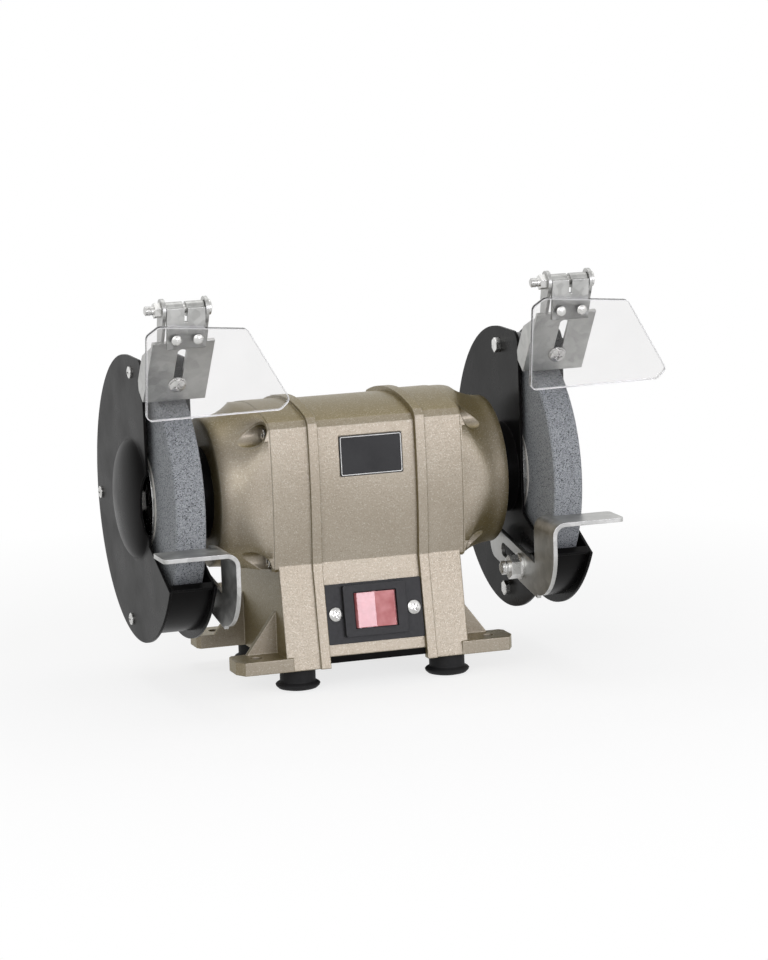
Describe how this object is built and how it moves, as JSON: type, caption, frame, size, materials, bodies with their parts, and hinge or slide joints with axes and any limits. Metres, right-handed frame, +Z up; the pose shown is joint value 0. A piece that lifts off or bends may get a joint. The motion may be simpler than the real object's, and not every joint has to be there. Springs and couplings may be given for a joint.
{
  "type": "bench grinder",
  "caption": "Double-ended bench grinder: ribbed cast motor housing on a flared pedestal, guarded abrasive wheels, slotted tool rests, hinged clear eye shields and a rocker switch.",
  "frame": {"origin": "on the bench top under the middle of the motor, in the plane of the spindle", "axes": "+X along the spindle to the right of the operator, -Y towards the operator, +Z up"},
  "size_m": [0.3223, 0.1885, 0.244],
  "materials": {
    "housing_paint": "satin metallic",
    "black_paint": "semi-gloss",
    "zinc": "bright plated",
    "plated_sheet": "satin plated",
    "rubber": "matt",
    "black_plastic": "satin",
    "grey_plastic": "matt",
    "switch_red": "gloss",
    "lamination": "matt",
    "copper": "satin",
    "bearing_steel": "polished",
    "shaft_steel": "turned",
    "blotter_paper": "matt",
    "abrasive": "gritty",
    "clear_sheet": "clear gloss"
  },
  "bodies": {
    "motor": {"centre_housing": "housing_paint", "left_end_housing": "housing_paint", "right_end_housing": "housing_paint", "housing_screws": "zinc", "base_cover": "black_paint", "base_screws": "zinc", "rubber_feet": "rubber", "foot_screws": "zinc", "nameplate": "black_plastic", "switch_plate": "black_plastic", "switch_screws": "zinc", "switch_bezel": "black_plastic", "stator_core": "lamination", "stator_windings": "copper", "capacitor": "grey_plastic", "terminal_block": "grey_plastic", "cable_gland": "black_plastic", "bearing_outer_rings": "bearing_steel", "left_guard_back": "black_paint", "right_guard_back": "black_paint", "collar_screws": "zinc", "left_guard_rim": "black_paint", "right_guard_rim": "black_paint", "guard_bolts": "zinc", "left_guard_cover": "black_paint", "right_guard_cover": "black_paint", "cover_screws": "zinc", "rest_spacers": "zinc", "rest_bolts": "zinc", "rest_nuts": "zinc", "shield_screws": "zinc"},
    "rotor": {"bearing_inner_rings": "bearing_steel", "bearing_balls": "bearing_steel", "shaft": "shaft_steel", "rotor_core": "lamination", "inner_flanges": "zinc", "outer_flanges": "zinc", "blotters": "blotter_paper", "left_wheel": "abrasive", "right_wheel": "abrasive", "spindle_nuts": "zinc"},
    "rocker": {"rocker": "switch_red"},
    "left_rest": {"left_tool_rest": "plated_sheet"},
    "right_rest": {"right_tool_rest": "plated_sheet"},
    "left_bracket": {"left_bracket": "plated_sheet", "left_hinge_bolt": "zinc"},
    "right_bracket": {"right_bracket": "plated_sheet", "right_hinge_bolt": "zinc"},
    "left_shield": {"left_strap": "plated_sheet", "left_rivets": "zinc", "left_shield": "clear_sheet"},
    "right_shield": {"right_strap": "plated_sheet", "right_rivets": "zinc", "right_shield": "clear_sheet"}
  },
  "joints": [
    {"name": "spindle_spin", "type": "hinge", "parent": "motor", "child": "rotor", "pos_m": [0, 0, 0.1155], "axis": [1, 0, 0], "continuous": true},
    {"name": "switch_rock", "type": "hinge", "parent": "motor", "child": "rocker", "pos_m": [0, -0.05184, 0.04519], "axis": [0, 0.1736, 0.9848], "range_deg": [0, 16]},
    {"name": "left_rest_slide", "type": "slide", "parent": "motor", "child": "left_rest", "axis": [0, -0.9848, -0.1736], "range_m": [-0.0012, 0.03]},
    {"name": "right_rest_slide", "type": "slide", "parent": "motor", "child": "right_rest", "axis": [0, -0.9848, -0.1736], "range_m": [-0.0012, 0.03]},
    {"name": "left_bracket_slide", "type": "slide", "parent": "motor", "child": "left_bracket", "axis": [0, -0.5878, 0.809], "range_m": [-0.0045, 0.0006]},
    {"name": "right_bracket_slide", "type": "slide", "parent": "motor", "child": "right_bracket", "axis": [0, -0.5878, 0.809], "range_m": [-0.0045, 0.0006]},
    {"name": "left_shield_hinge", "type": "hinge", "parent": "left_bracket", "child": "left_shield", "pos_m": [-0.118, -0.08, 0.2375], "axis": [-1, 0, 0], "range_deg": [-4, 75]},
    {"name": "right_shield_hinge", "type": "hinge", "parent": "right_bracket", "child": "right_shield", "pos_m": [0.118, -0.08, 0.2375], "axis": [-1, 0, 0], "range_deg": [-4, 75]}
  ]
}
